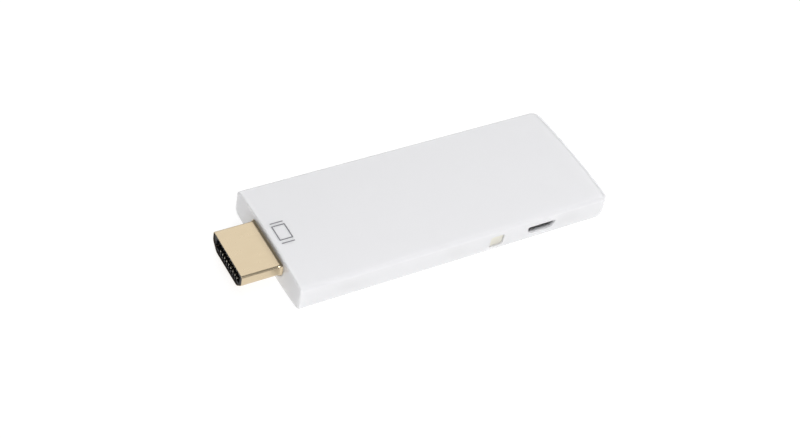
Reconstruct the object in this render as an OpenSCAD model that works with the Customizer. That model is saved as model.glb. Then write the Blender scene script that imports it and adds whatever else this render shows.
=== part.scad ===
// Streaming media player stick: a white casing with a fixed audio-video plug at one end,
// a power socket and a sprung push button in one long side, and a circuit board inside.
// Millimetres. +X runs from the plug to the far end, -Y is the side with the socket, +Z is up.
// The origin is under the middle of the whole stick, on the surface that it rests on.

/* [Casing] */
// Length of the casing along X, without the plug
body_l = 77; // [76:0.5:80]
// Width of the casing along Y
body_w = 30.4; // [30:0.2:32]
// Thickness of the casing on its centre line
body_h = 7.7; // [7.7:0.1:8.6]
// Height that the top rises from its long edges to the centre line
top_crown = 0.9; // [0.6:0.05:1]
// Height that the underside drops from its long edges to its flat strip
base_crown = 0.74; // [0.5:0.02:0.8]
// Width of the flat strip that the casing rests on
base_flat_w = 10; // [6:1:12]
// Wall thickness of the casing
wall = 1.2; // [1:0.1:1.3]
// Radius of the far corners, seen from above
end_corner_r = 3; // [2:0.5:4]
// Radius that rounds the far end down from the top
nose_top_r = 2.7; // [2:0.1:3]
// Radius that rounds the far end up from the underside
nose_base_r = 3.6; // [2.5:0.1:3.8]
// Radius along the long top edges
top_edge_r = 0.8; // [0.5:0.1:1]
// Radius along the long bottom edges
base_edge_r = 1.2; // [0.8:0.1:1.4]
// Radius around the plug end of the casing
front_edge_r = 0.4; // [0.2:0.1:0.6]
// Width of the seam between the two covers
seam = 0.1; // [0.05:0.01:0.15]

/* [Plug] */
// Length of the plug that stands out of the casing
plug_out = 9; // [8:0.5:12]
// Width of the plug's shell
plug_w = 13.9; // [13.9:0.1:14]
// Height of the plug's shell
plug_h = 4.45; // [4.4:0.05:4.5]
// Width of the narrow bottom of the plug's shell
plug_base_w = 10; // [9.6:0.1:10.4]
// Height of the plug's upright side walls
plug_side_h = 2.55; // [2.3:0.05:2.9]
// Sheet thickness of the plug's shell
plug_t = 0.35; // [0.3:0.05:0.4]
// Length of the wider collar at the root of the plug, outside the casing
collar_l = 1.3; // [1:0.1:2]
// How far the collar stands out around the plug's shell
collar_out = 0.3; // [0.2:0.05:0.35]
// Height of the plug's centre above the surface that the casing rests on
plug_z = 3.65; // [3.6:0.05:3.8]

/* [Side] */
// Distance from the plug end of the casing to the middle of the button
button_from_face = 47.35; // [46.5:0.05:48]
// Width of the button's face
button_w = 3.3; // [3.1:0.1:3.4]
// Height of the button's face
button_h = 3; // [2.8:0.1:3.1]
// Depth of the button's face behind the casing's side
button_recess = 0.5; // [0.4:0.05:0.6]
// Travel of the button
button_travel = 0.25; // [0.1:0.05:0.3]
// Distance from the plug end of the casing to the middle of the power socket
socket_from_face = 58.8; // [58:0.1:59]
// Width of the power socket's shell
socket_w = 7.4; // [7.3:0.1:7.5]
// Height of the power socket's shell
socket_h = 2.35; // [2.3:0.05:2.4]

/* [Board] */
// Thickness of the circuit board
board_t = 0.8; // [0.8:0.1:1]
// Width of the circuit board
board_w = 25.6; // [25.4:0.1:25.7]
// Height of the board's top above the surface that the casing rests on
board_top = 3.25; // [3.25:0.05:3.3]

/* [Hidden] */

// Casing: ends, radii and heights that follow from the driving sizes
face_x = -(body_l - plug_out) / 2;
tip_x = face_x - plug_out;
end_x = face_x + body_l;
half_w = body_w / 2;
flat_half = base_flat_w / 2;
// The top is part of a wide cylinder that lies along X; so is the underside beside its flat strip
top_r = (half_w * half_w + top_crown * top_crown) / (2 * top_crown);
top_axis_z = body_h - top_r;
base_axis_z = (half_w * half_w + base_crown * base_crown - flat_half * flat_half) / (2 * base_crown);
base_r = norm([flat_half, base_axis_z]);
// Segments of the wide cylinders and of the small round edges
wide_fn = 720;
edge_fn = 48;
post_fn = 32;
// Inner floor of the casing, and how far the bottom cover reaches from the casing's outline
floor_z = 1.3;
rim = 0.85;
cover_end_x = end_x - nose_base_r - 0.2;
cavity_half = half_w - wall;
// Overshoot of cutting shapes, and how far a standing detail is sunk into what it stands on
over = 1;
sunk = 0.2;

// Plug
plug_back_x = face_x + 3.1;
plug_edge_r = 0.55;
plug_gap = 0.15;
// The collar ends just in front of the bottom cover
collar_end_x = face_x + rim - seam - 0.05;
slot_w = 11.4;
slot_h = 2.2;
slot_depth = 7;
insulator_x = tip_x + 0.2;
insulator_back_x = plug_back_x + 0.1;
contact_t = 0.2;
contact_w = 0.4;
contact_pitch = 1;
contact_proud = 0.15;
contact_front_x = insulator_x + 0.25;
contact_bend_x = insulator_back_x + 0.1;
tail_back_x = insulator_back_x + 2.4;
leg_end_gap = 0.5;
leg_drop = 0.5;
leg_h = 2.6;
plug_outline = [
    [plug_w / 2, plug_h / 2],
    [-plug_w / 2, plug_h / 2],
    [-plug_w / 2, plug_h / 2 - plug_side_h],
    [-plug_base_w / 2, -plug_h / 2],
    [plug_base_w / 2, -plug_h / 2],
    [plug_w / 2, plug_h / 2 - plug_side_h]
];

// Power socket, in a plane seen from inside the casing
socket_x = face_x + socket_from_face;
// The socket is sunk into a notch in the board, just behind the casing's wall
socket_z = board_top + 0.5;
socket_front_y = -cavity_half + 0.05;
socket_depth = 5;
socket_back_y = socket_front_y + socket_depth;
socket_t = 0.25;
socket_edge_r = 0.5;
// The casing's mouth is as large as the inside of the socket's shell
socket_mouth_inset = 0.2;
socket_outline = [
    [socket_w / 2, socket_h / 2],
    [-socket_w / 2, socket_h / 2],
    [-socket_w / 2, -0.15],
    [-socket_w / 2 + 0.95, -socket_h / 2],
    [socket_w / 2 - 0.95, -socket_h / 2],
    [socket_w / 2, -0.15]
];
foot_w = 1.1;
foot_l = 1.8;
foot_y = socket_back_y - 2.6;
foot_out = 0.35;
web_t = 0.24;
web_h = 1.2;
tongue_w = 5.4;
tongue_t = 0.6;
tongue_z = socket_z + 0.45;
tongue_front_y = socket_front_y + 0.6;
tongue_base_y = socket_back_y - 1.3;
pin_pitch = 0.65;
pin_w = 0.35;
pin_t = 0.12;
pin_front_y = socket_front_y + 0.9;
pin_tail_y = socket_back_y + 0.9;

// Button and the switch behind it
button_x = face_x + button_from_face;
button_z = 3.5;
button_gap = 0.08;
button_edge_r = 0.5;
button_face_y = -half_w + button_recess;
flange_front_y = -cavity_half + 0.1;
flange_back_y = flange_front_y + 0.55;
flange_side = 0.5;
flange_low_z = floor_z + 0.15;
flange_high_z = button_z + button_h / 2 + 0.4;
switch_w = 4.2;
switch_h = 1.7;
switch_front_y = -12.5;
switch_back_y = -10.3;
switch_sheet = 0.15;
plunger_w = 1.8;
plunger_h = 0.8;
plunger_z = board_top + 0.85;
plunger_gap = 0.06;
plunger_lip = 0.25;
plunger_stop_t = 0.35;
switch_front_wall = 0.4;
stop_gap = 0.05;
stop_y = switch_front_y + switch_front_wall + stop_gap;
// Free depth behind the plunger's stop at the end of its travel
dome_room = 0.35;

// Board
board_low = board_top - board_t;
board_half = board_w / 2;
board_front_x = face_x + 1.7;
board_end_x = end_x - 4.7;
plug_notch_x = insulator_back_x + 0.6;
plug_notch_half = plug_w / 2 + 0.25;
leg_slot_x = plug_notch_x + 2.2;
leg_slot_w = plug_t + 0.25;
button_notch_half = button_w / 2 + flange_side + 0.5;
button_notch_depth = 0.4;
socket_notch_half = 3.5;
socket_notch_end_y = socket_back_y + 0.1;
post_places = [
    [face_x + 6.5, 10.8], [face_x + 6.5, -10.8],
    [end_x - 7, 10.8], [end_x - 7, -10.8]
];
post_d = 3.2;
pin_d = 1.3;
pin_hole_d = 1.5;
pin_top_z = 4.1;
pin_hole_depth = 1.7;
post_top_z = body_h - wall - sunk;
hook_xs = [face_x + 12, face_x + 37, end_x - 11];
hook_l = 4;
hook_t = 0.8;
hook_out_y = cavity_half - 0.15;
hook_top_z = 4.6;
barb_out = 0.35;
barb_h = 1;
barb_ledge = 0.1;
pocket_depth = 0.55;
pocket_gap = 0.2;
pocket_h = 1.5;
pocket_z = hook_top_z - 0.55;
rib_x = face_x + wall + 0.3;
rib_l = 1;
rib_w = 10;
rib_gap = 0.05;

// Chips, by the middle of each on the board
processor_at = [face_x + 20, 0];
processor_w = 14;
processor_h = 1.2;
pad_w = 12;
pad_t = 0.8;
spreader_l = 28;
spreader_w = 18;
spreader_t = 0.6;
spreader_leg_w = 2.5;
spreader_z = board_top + processor_h + pad_t;
memory_places = [[face_x + 14.5, 0], [face_x + 26.5, 0]];
memory_size = [9, 13.3, 1];
flash_at = [face_x + 41.5, 4.5];
flash_size = [11.5, 13, 1];
power_chip_at = [face_x + 37.5, -8];
power_chip_size = [5, 5, 0.85];
inductor_places = [for (i = [0:2]) [face_x + 42.5 + 3.7 * i, -5.4]];
inductor_w = 3;
inductor_h = 1.4;
bulk_places = [for (i = [0:2]) [face_x + 54 + 4.4 * i, -6.2]];
bulk_size = [3.2, 1.6, 1.6];
crystal_places = [[face_x + 15.5, -10.9], [face_x + 51.5, 8.6]];
crystal_size = [3.2, 2.5, 0.75];
radio_at = [face_x + 61, 4.5];
radio_size = [13, 12.2, 0.6];
shield_size = [12.2, 11.4, 1.5];
shield_t = 0.2;
antenna_x = end_x - 6.4;
antenna_l = 15;
antenna_h = 1.9;
antenna_t = 0.2;
antenna_w = 1.6;
antenna_leg_gap = 4;
antenna_foot = 1.2;
light_at = [button_x + 4, -11.9];
light_size = [1.6, 0.8, 0.6];
inductor_corner_r = 0.5;
// Rows of small chips: place of the first from the plug end, step to the next, count and size
small_cap = [1, 0.5, 0.5];
capacitor_rows = [
    [[9.5, 11.4], [2.2, 0], 10, small_cap],
    [[20, -11.4], [2.2, 0], 4, small_cap],
    [[37.5, -2.9], [2.2, 0], 4, small_cap],
    [[54, -3.7], [2.2, 0], 5, small_cap]
];
resistor_rows = [
    [[7.6, -4.5], [0, 1.8], 6, [0.5, 1, 0.35]],
    [[28.5, -11.4], [2, 0], 4, [1, 0.5, 0.35]],
    [[50.5, -1], [0, 1.8], 4, [1, 0.5, 0.35]]
];

plastic_white = [0.93, 0.93, 0.93];
plug_gold = [0.86, 0.74, 0.5];
plastic_black = [0.09, 0.09, 0.1];
contact_metal = [0.8, 0.78, 0.7];
button_cream = [0.93, 0.9, 0.78];
board_green = [0.06, 0.3, 0.18];
chip_black = [0.13, 0.13, 0.14];
metal_grey = [0.72, 0.72, 0.73];

// Unit vector square to the edge from a to b, pointing into an outline that runs counter-clockwise
function inward(a, b) = let (u = (b - a) / norm(b - a)) [-u[1], u[0]];

// Points of a convex outline with its corners rounded to radius r, drawn inset from its edges
function rounded(points, r, inset = 0, steps = 6) = [
    for (i = [0 : len(points) - 1])
        let (
            count = len(points),
            n1 = inward(points[(i + count - 1) % count], points[i]),
            n2 = inward(points[i], points[(i + 1) % count]),
            centre = points[i] + (n1 + n2) * r / (1 + n1 * n2),
            start = atan2(-n1[1], -n1[0]),
            turn = (atan2(-n2[1], -n2[0]) - start + 720) % 360
        )
        for (k = [0 : steps])
            let (angle = start + turn * k / steps)
            centre + (r - inset) * [cos(angle), sin(angle)]
];

// Corners of a rectangle, counter-clockwise, about the origin
function rectangle(w, h) = [[w / 2, h / 2], [-w / 2, h / 2], [-w / 2, -h / 2], [w / 2, -h / 2]];

// Draws an outline given in Y and Z, and extends it from x0 to x1
module along_x(x0, x1) {
    translate([x0, 0, 0]) rotate([90, 0, 90]) linear_extrude(height = x1 - x0) children();
}

// Draws an outline given in X and Z, and extends it from y0 to y1
module along_y(y0, y1) {
    translate([0, y1, 0]) rotate([90, 0, 0]) linear_extrude(height = y1 - y0) children();
}

// Box that stands on z0, with its middle at a place on the board
module chip(at, size, z0) {
    translate([at[0] - size[0] / 2, at[1] - size[1] / 2, z0]) cube(size);
}

module chip_rows(rows) {
    for (row = rows)
        for (i = [0 : row[2] - 1])
            chip([face_x, 0] + row[0] + i * row[1], row[3], board_top);
}

// What a round edge of radius r takes off a square corner at the origin, inside the -X -Y quarter
module corner_waste(r) {
    difference() {
        translate([-r, -r]) square(r + over);
        translate([-r, -r]) circle(r = r, $fn = edge_fn);
    }
}

// Round bar about a line along X at height axis_z, with its two ends rounded over
module crown_bar(r, axis_z, inset, near_r, far_r) {
    translate([0, 0, axis_z]) rotate([0, 90, 0]) rotate_extrude($fn = wide_fn) difference() {
        translate([0, face_x + inset]) square([r - inset, body_l - 2 * inset]);
        translate([r - inset, end_x - inset]) corner_waste(far_r);
        translate([r - inset, face_x + inset]) mirror([0, 1]) corner_waste(near_r);
    }
}

// The casing's outline seen from above, inset from its edges
module plan(inset) {
    difference() {
        translate([face_x + inset, -half_w + inset])
            square([body_l - 2 * inset, body_w - 2 * inset]);
        for (side = [-1, 1])
            scale([1, side]) translate([end_x - inset, half_w - inset])
                corner_waste(end_corner_r - inset);
    }
}

// Rounds one long edge of the casing: side is 1 or -1, up is 1 for the top and -1 for the underside
module long_edge_waste(r, axis_z, crown_r, side, up) {
    // The round stops just short of the crown's own surface, so the two cross cleanly
    drop = 0.02;
    reach = half_w - r;
    centre_z = axis_z + up * (sqrt((crown_r - r) * (crown_r - r) - reach * reach) - drop);
    lean = (r + over) * [reach / crown_r, up * sqrt(1 - pow(reach / crown_r, 2))];
    along_x(face_x - over, end_x + over) scale([side, 1]) difference() {
        polygon([
            [reach, centre_z],
            [half_w + over, centre_z],
            [half_w + over, centre_z + up * (r + over)],
            [reach, centre_z] + lean
        ]);
        translate([reach, centre_z]) circle(r = r, $fn = edge_fn);
    }
}

// The whole casing as one solid
module casing() {
    difference() {
        intersection() {
            linear_extrude(height = body_h) plan(0);
            crown_bar(top_r, top_axis_z, 0, front_edge_r, nose_top_r);
            crown_bar(base_r, base_axis_z, 0, front_edge_r, nose_base_r);
        }
        for (side = [-1, 1]) {
            long_edge_waste(top_edge_r, top_axis_z, top_r, side, 1);
            long_edge_waste(base_edge_r, base_axis_z, base_r, side, -1);
        }
    }
}

// The space inside the casing above its floor
module cavity() {
    intersection() {
        translate([0, 0, floor_z]) linear_extrude(height = body_h) plan(wall);
        crown_bar(top_r, top_axis_z, wall, front_edge_r, nose_top_r - wall);
    }
}

// Block that the bottom cover fills, grown by a gap
module cover_block(gap, z1) {
    translate([face_x + rim - gap, -half_w + rim - gap, -over])
        cube([cover_end_x - face_x - rim + 2 * gap, body_w - 2 * rim + 2 * gap, z1 + over]);
}

module plug_profile(inset) {
    translate([0, plug_z]) polygon(rounded(plug_outline, plug_edge_r, inset));
}

module socket_profile(inset) {
    translate([socket_x, socket_z]) polygon(rounded(socket_outline, socket_edge_r, inset));
}

module button_profile(gap) {
    translate([button_x, button_z])
        polygon(rounded(rectangle(button_w, button_h), button_edge_r, -gap));
}

// Upper half of the casing: the whole visible top and sides, with posts that hold the board down
module top_cover() {
    color(plastic_white) {
        difference() {
            casing();
            cavity();
            cover_block(seam, floor_z);
            along_x(face_x - over, face_x + wall + over) plug_profile(-collar_out - plug_gap);
            along_y(-half_w - over, -cavity_half + over) socket_profile(socket_mouth_inset);
            along_y(-half_w - over, -cavity_half + over) button_profile(button_gap);
            for (x = hook_xs)
                for (side = [-1, 1])
                    translate([x, side * (cavity_half + pocket_depth - over / 2), pocket_z])
                        cube([hook_l + 2 * pocket_gap, over, pocket_h], center = true);
        }
        for (at = post_places)
            translate([at[0], at[1], board_top]) difference() {
                cylinder(d = post_d, h = post_top_z - board_top, $fn = post_fn);
                translate([0, 0, -over])
                    cylinder(d = pin_hole_d, h = over + pin_hole_depth, $fn = post_fn);
            }
        translate([rib_x, -rib_w / 2, plug_z + plug_h / 2 + rib_gap])
            cube([rib_l, rib_w, body_h - wall + sunk - plug_z - plug_h / 2 - rib_gap]);
    }
}

// Lower cover: a crowned plate let into the casing, with pins for the board and snap hooks
module bottom_cover() {
    color(plastic_white) {
        intersection() {
            casing();
            cover_block(0, floor_z);
        }
        for (at = post_places) {
            translate([at[0], at[1], floor_z - sunk])
                cylinder(d = post_d, h = board_low - floor_z + sunk, $fn = post_fn);
            translate([at[0], at[1], board_low - sunk])
                cylinder(d = pin_d, h = pin_top_z - board_low + sunk, $fn = post_fn);
        }
        for (x = hook_xs)
            for (side = [-1, 1])
                scale([1, side, 1]) translate([x - hook_l / 2, 0, 0]) rotate([90, 0, 90])
                    linear_extrude(height = hook_l) polygon([
                        [hook_out_y - hook_t, floor_z - sunk],
                        [hook_out_y, floor_z - sunk],
                        [hook_out_y, hook_top_z - barb_h],
                        [hook_out_y + barb_out, hook_top_z - barb_h + barb_ledge],
                        [hook_out_y, hook_top_z],
                        [hook_out_y - hook_t, hook_top_z]
                    ]);
    }
}

// Push button cap with the flange that keeps it in the casing
module mode_button() {
    color(button_cream) {
        along_y(button_face_y, flange_front_y + sunk) button_profile(0);
        translate([button_x - button_w / 2 - flange_side, flange_front_y, flange_low_z])
            cube([
                button_w + 2 * flange_side,
                flange_back_y - flange_front_y,
                flange_high_z - flange_low_z
            ]);
    }
}

// Stamped shell of the plug, with a collar where it leaves the casing and two legs into the board
module plug_shell() {
    color(plug_gold) {
        along_x(tip_x, plug_back_x) difference() {
            plug_profile(0);
            plug_profile(plug_t);
        }
        along_x(face_x - collar_l, collar_end_x) difference() {
            plug_profile(-collar_out);
            plug_profile(plug_t / 2);
        }
        for (side = [-1, 1])
            translate([plug_back_x - sunk, side * (plug_w - plug_t) / 2 - plug_t / 2, board_low - leg_drop])
                cube([leg_slot_x - leg_end_gap - plug_back_x + sunk, plug_t, leg_h]);
    }
}

// Strip of the contacts' shape in X and Z: a beam in the plug, a step down and a tail on the board
module contact_strip(beam_z, tail_z) {
    along_y(-contact_w / 2, contact_w / 2) polygon([
        [contact_front_x, beam_z],
        [contact_bend_x, beam_z],
        [contact_bend_x, tail_z],
        [tail_back_x, tail_z],
        [tail_back_x, tail_z + contact_t],
        [contact_bend_x + contact_t, tail_z + contact_t],
        [contact_bend_x + contact_t, beam_z + contact_t],
        [contact_front_x, beam_z + contact_t]
    ]);
}

module upper_row() {
    beam_z = plug_z + slot_h / 2 - contact_proud;
    for (i = [0:9])
        translate([0, (i - 4.5) * contact_pitch, 0]) contact_strip(beam_z, board_top);
}

module lower_row() {
    beam_z = plug_z - slot_h / 2 + contact_proud - contact_t;
    for (i = [0:8])
        translate([0, (i - 4) * contact_pitch, 0]) contact_strip(beam_z, board_low - contact_t);
}

// Moulded core of the plug, with the slot that the mating tongue enters
module plug_insulator() {
    color(plastic_black) difference() {
        along_x(insulator_x, insulator_back_x) plug_profile(plug_t);
        translate([insulator_x - over, -slot_w / 2, plug_z - slot_h / 2])
            cube([slot_depth + over, slot_w, slot_h]);
        upper_row();
        lower_row();
    }
}

module plug_contacts_upper() {
    color(contact_metal) upper_row();
}

module plug_contacts_lower() {
    color(contact_metal) lower_row();
}

// Circuit board, notched for the plug and its two legs, the button's flange and the power socket
module main_board() {
    color(board_green) difference() {
        translate([0, 0, board_low]) linear_extrude(height = board_t) difference() {
            translate([board_front_x, -board_half]) square([board_end_x - board_front_x, board_w]);
            translate([board_front_x - over, -plug_notch_half])
                square([plug_notch_x - board_front_x + over, 2 * plug_notch_half]);
            for (side = [-1, 1])
                translate([plug_notch_x - over, side * (plug_w - plug_t) / 2 - leg_slot_w / 2])
                    square([leg_slot_x - plug_notch_x + over, leg_slot_w]);
            translate([button_x - button_notch_half, -board_half - over])
                square([2 * button_notch_half, over + button_notch_depth]);
            translate([socket_x - socket_notch_half, -board_half - over])
                square([2 * socket_notch_half, socket_notch_end_y + board_half + over]);
        }
        for (at = post_places)
            translate([at[0], at[1], board_low - over])
                cylinder(d = pin_hole_d, h = board_t + 2 * over, $fn = post_fn);
    }
}

module processor() {
    color(chip_black) chip(processor_at, [processor_w, processor_w, processor_h], board_top);
}

module thermal_pad() {
    color([0.55, 0.6, 0.66]) chip(processor_at, [pad_w, pad_w, pad_t], board_top + processor_h);
}

// Metal plate over the processor, standing on four legs
module heat_spreader() {
    color(metal_grey) {
        chip(processor_at, [spreader_l, spreader_w, spreader_t], spreader_z);
        for (dx = [-1, 1])
            for (dy = [-1, 1])
                chip(
                    processor_at + [
                        dx * (spreader_l - spreader_t) / 2,
                        dy * (spreader_w - spreader_leg_w) / 2
                    ],
                    [spreader_t, spreader_leg_w, spreader_z - board_top + spreader_t / 2],
                    board_top
                );
    }
}

// Two memory chips on the underside of the board
module memory_chips() {
    color(chip_black) for (at = memory_places) chip(at, memory_size, board_low - memory_size[2]);
}

module flash_chip() {
    color(chip_black) chip(flash_at, flash_size, board_top);
}

module power_chip() {
    color(chip_black) chip(power_chip_at, power_chip_size, board_top);
}

// Three shielded inductors with clipped corners
module inductors() {
    color([0.3, 0.3, 0.32]) for (at = inductor_places)
        translate([at[0], at[1], board_top]) linear_extrude(height = inductor_h)
            polygon(rounded(rectangle(inductor_w, inductor_w), inductor_corner_r, 0, 2));
}

module bulk_capacitors() {
    color([0.85, 0.6, 0.2]) for (at = bulk_places) chip(at, bulk_size, board_top);
}

// Rows of small chip capacitors around the processor and beside the power chip
module capacitors() {
    color([0.7, 0.6, 0.48]) chip_rows(capacitor_rows);
}

// Rows of small chip resistors behind the plug and beside the radio
module resistors() {
    color([0.16, 0.16, 0.18]) chip_rows(resistor_rows);
}

module crystals() {
    color(metal_grey) for (at = crystal_places) chip(at, crystal_size, board_top);
}

// Small board of the radio module
module radio_board() {
    color([0.1, 0.22, 0.36]) chip(radio_at, radio_size, board_top);
}

// Drawn metal can over the radio module, open below
module radio_shield() {
    inner = shield_size - [2 * shield_t, 2 * shield_t, shield_t];
    color(metal_grey) difference() {
        chip(radio_at, shield_size, board_top + radio_size[2]);
        chip(radio_at, inner + [0, 0, over], board_top + radio_size[2] - over);
    }
}

// Bent metal strip antenna: a long arm held above the board on a feed leg and a ground leg
module antenna() {
    color(contact_metal) {
        translate([antenna_x, -antenna_l / 2, board_top + antenna_h])
            cube([antenna_w, antenna_l, antenna_t]);
        for (y = [antenna_l / 2 - antenna_t, antenna_l / 2 - antenna_leg_gap])
            translate([antenna_x, y, board_top])
                cube([antenna_w, antenna_t, antenna_h + antenna_t / 2]);
        translate([antenna_x, antenna_l / 2 - antenna_t, board_top])
            cube([antenna_w, antenna_foot, antenna_t]);
    }
}

// Stamped shell of the power socket, with a foot on each side
module socket_shell() {
    color(metal_grey) {
        along_y(socket_front_y, socket_back_y) difference() {
            socket_profile(0);
            socket_profile(socket_t);
        }
        for (side = [-1, 1])
            translate([socket_x + side * (socket_w / 2 + foot_out) - foot_w / 2, foot_y, board_top])
                cube([foot_w, foot_l, socket_t]);
        for (side = [-1, 1])
            translate([socket_x + (side * socket_w - web_t) / 2, foot_y, board_top])
                cube([web_t, foot_l, web_h]);
    }
}

module socket_pin_strip() {
    pin_z = tongue_z - tongue_t / 2 - pin_t;
    rotate([90, 0, 90]) translate([0, 0, -pin_w / 2]) linear_extrude(height = pin_w) polygon([
        [pin_front_y, pin_z],
        [socket_back_y, pin_z],
        [socket_back_y, board_top],
        [pin_tail_y, board_top],
        [pin_tail_y, board_top + pin_t],
        [socket_back_y + pin_t, board_top + pin_t],
        [socket_back_y + pin_t, pin_z + pin_t],
        [pin_front_y, pin_z + pin_t]
    ]);
}

module socket_pins() {
    for (i = [-2:2]) translate([socket_x + i * pin_pitch, 0, 0]) socket_pin_strip();
}

// Moulded tongue of the power socket
module socket_tongue() {
    color(plastic_black) difference() {
        union() {
            along_y(tongue_base_y, socket_back_y) socket_profile(socket_t);
            translate([socket_x - tongue_w / 2, tongue_front_y, tongue_z - tongue_t / 2])
                cube([tongue_w, (tongue_base_y + socket_back_y) / 2 - tongue_front_y, tongue_t]);
        }
        socket_pins();
    }
}

module socket_contacts() {
    color(contact_metal) socket_pins();
}

// Moulded base of the switch, open at the front for its plunger
module switch_housing() {
    color(plastic_black) difference() {
        translate([button_x - switch_w / 2, switch_front_y, board_top])
            cube([switch_w, switch_back_y - switch_front_y, switch_h]);
        translate([
            button_x - plunger_w / 2 - plunger_gap,
            switch_front_y - over,
            plunger_z - plunger_h / 2 - plunger_gap
        ])
            cube([
                plunger_w + 2 * plunger_gap,
                over + switch_front_wall + stop_gap,
                plunger_h + 2 * plunger_gap
            ]);
        translate([
            button_x - plunger_w / 2 - plunger_lip - plunger_gap,
            switch_front_y + switch_front_wall,
            plunger_z - plunger_h / 2 - plunger_lip - plunger_gap
        ])
            cube([
                plunger_w + 2 * plunger_lip + 2 * plunger_gap,
                stop_gap + plunger_stop_t + button_travel + dome_room,
                plunger_h + 2 * plunger_lip + 2 * plunger_gap
            ]);
    }
}

// Bent metal cover clipped over the switch
module switch_cover() {
    depth = switch_back_y - switch_front_y;
    color(metal_grey) {
        translate([button_x - switch_w / 2 - switch_sheet, switch_front_y, board_top + switch_h])
            cube([switch_w + 2 * switch_sheet, depth, switch_sheet]);
        for (x = [button_x - switch_w / 2 - switch_sheet, button_x + switch_w / 2])
            translate([x, switch_front_y, board_top])
                cube([switch_sheet, depth, switch_h + switch_sheet / 2]);
    }
}

// The switch's own plunger, which the button pushes; a stop behind the front wall keeps it in
module switch_plunger() {
    color([0.75, 0.73, 0.68]) {
        translate([button_x - plunger_w / 2, flange_back_y, plunger_z - plunger_h / 2])
            cube([plunger_w, stop_y + plunger_stop_t / 2 - flange_back_y, plunger_h]);
        translate([
            button_x - plunger_w / 2 - plunger_lip,
            stop_y,
            plunger_z - plunger_h / 2 - plunger_lip
        ])
            cube([plunger_w + 2 * plunger_lip, plunger_stop_t, plunger_h + 2 * plunger_lip]);
    }
}

// Small light beside the switch, which shines through the button
module status_light() {
    color([0.92, 0.9, 0.75]) chip(light_at, light_size, board_top);
}

top_cover();
bottom_cover();
mode_button();
plug_shell();
plug_insulator();
plug_contacts_upper();
plug_contacts_lower();
main_board();
processor();
thermal_pad();
heat_spreader();
memory_chips();
flash_chip();
power_chip();
inductors();
bulk_capacitors();
capacitors();
resistors();
crystals();
radio_board();
radio_shield();
antenna();
socket_shell();
socket_tongue();
socket_contacts();
switch_housing();
switch_cover();
switch_plunger();
status_light();
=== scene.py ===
import math
import bmesh
import bpy
from mathutils import Matrix, Vector


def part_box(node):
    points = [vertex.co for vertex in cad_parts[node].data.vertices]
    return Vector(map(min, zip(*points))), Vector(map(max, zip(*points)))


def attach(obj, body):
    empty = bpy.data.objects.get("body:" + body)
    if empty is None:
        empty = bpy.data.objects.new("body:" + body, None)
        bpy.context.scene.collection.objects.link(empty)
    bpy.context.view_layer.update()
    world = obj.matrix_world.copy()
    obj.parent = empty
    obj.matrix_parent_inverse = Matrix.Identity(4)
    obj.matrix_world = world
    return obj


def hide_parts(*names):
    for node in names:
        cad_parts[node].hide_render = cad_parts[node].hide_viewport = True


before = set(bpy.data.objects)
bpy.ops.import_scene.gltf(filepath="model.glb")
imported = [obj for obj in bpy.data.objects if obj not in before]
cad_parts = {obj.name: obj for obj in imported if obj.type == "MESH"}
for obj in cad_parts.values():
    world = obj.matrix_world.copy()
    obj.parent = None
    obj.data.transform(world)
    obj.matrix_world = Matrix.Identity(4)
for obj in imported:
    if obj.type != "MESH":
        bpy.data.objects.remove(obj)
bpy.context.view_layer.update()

mm = 0.001
tiny = 0.02 * mm  # how close a point must lie to count as on a line or a face
print("frame loaded:", len(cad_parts), "nodes")

# The casing's ends and sides, and the button's and socket's places, all come from the frame
coverLow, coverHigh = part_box("top_cover")
plugLow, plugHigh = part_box("plug_shell")
socketLow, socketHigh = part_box("socket_shell")
buttonLow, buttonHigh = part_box("mode_button")
boardLow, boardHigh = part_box("main_board")
faceX, endX = coverLow.x, coverHigh.x
halfWidth, topZ = coverHigh.y, coverHigh.z
tipX = plugLow.x
socketX = (socketLow.x + socketHigh.x) / 2
buttonX = (buttonLow.x + buttonHigh.x) / 2
boardTop = boardHigh.z

# Sizes of the two covers; "crown" is how far the surface falls from its middle line to its sides
casing = dict(
    wall=1.2 * mm, floor=1.3 * mm, rim=0.85 * mm, seam=0.1 * mm, ledgeGap=0.04 * mm,
    crown=0.9 * mm, baseCrown=0.74 * mm, flatHalf=5 * mm,
    topEdge=0.8 * mm, baseEdge=1.08 * mm, frontEdge=0.4 * mm, leastRound=0.2 * mm, worn=0.05 * mm,
    endRound=3 * mm, noseMid=4.6 * mm, noseEnd=0.14, plateEnd=3.8 * mm,
    rows=20, noseSteps=12,
)
# The plug's D-shaped shell, its wider root at the casing, and the slot in its core
plug = dict(
    width=13.9 * mm, height=4.45 * mm, middle=3.65 * mm, base=10 * mm, side=2.55 * mm,
    sheet=0.35 * mm, bend=0.55 * mm, flareLength=1.3 * mm, flareOut=0.3 * mm, gap=0.06 * mm,
    slotWidth=11.4 * mm, slotHeight=2.2 * mm, slotDepth=7 * mm, back=3.1 * mm,
    flareCurve=3.5, flareSteps=8, stepBack=0.1 * mm, legDrop=0.5 * mm, legTall=2.6 * mm, legEdge=0.05 * mm,
    # the last of these sets how far in from the mouth the painted shade on the shell's inner faces reaches
    mouthIn=0.6, mouthSlope=0.25 * mm, mouthRound=0.06 * mm, paintedShadeDepth=0.6 * mm,
)
# The power socket's shell, and the opening and pocket for it in the side wall
socket = dict(
    width=7.4 * mm, height=2.35 * mm, middle=boardTop + 0.5 * mm, shoulder=1.025 * mm, base=5.5 * mm,
    sheet=0.25 * mm, bend=0.5 * mm, mouthInset=0.2 * mm, mouthRound=0.07 * mm,
    lip=0.35 * mm, lipIn=0.6 * mm, lipDrop=0.2 * mm, lipWall=0.75 * mm, pocketGap=0.1 * mm,
)
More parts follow.
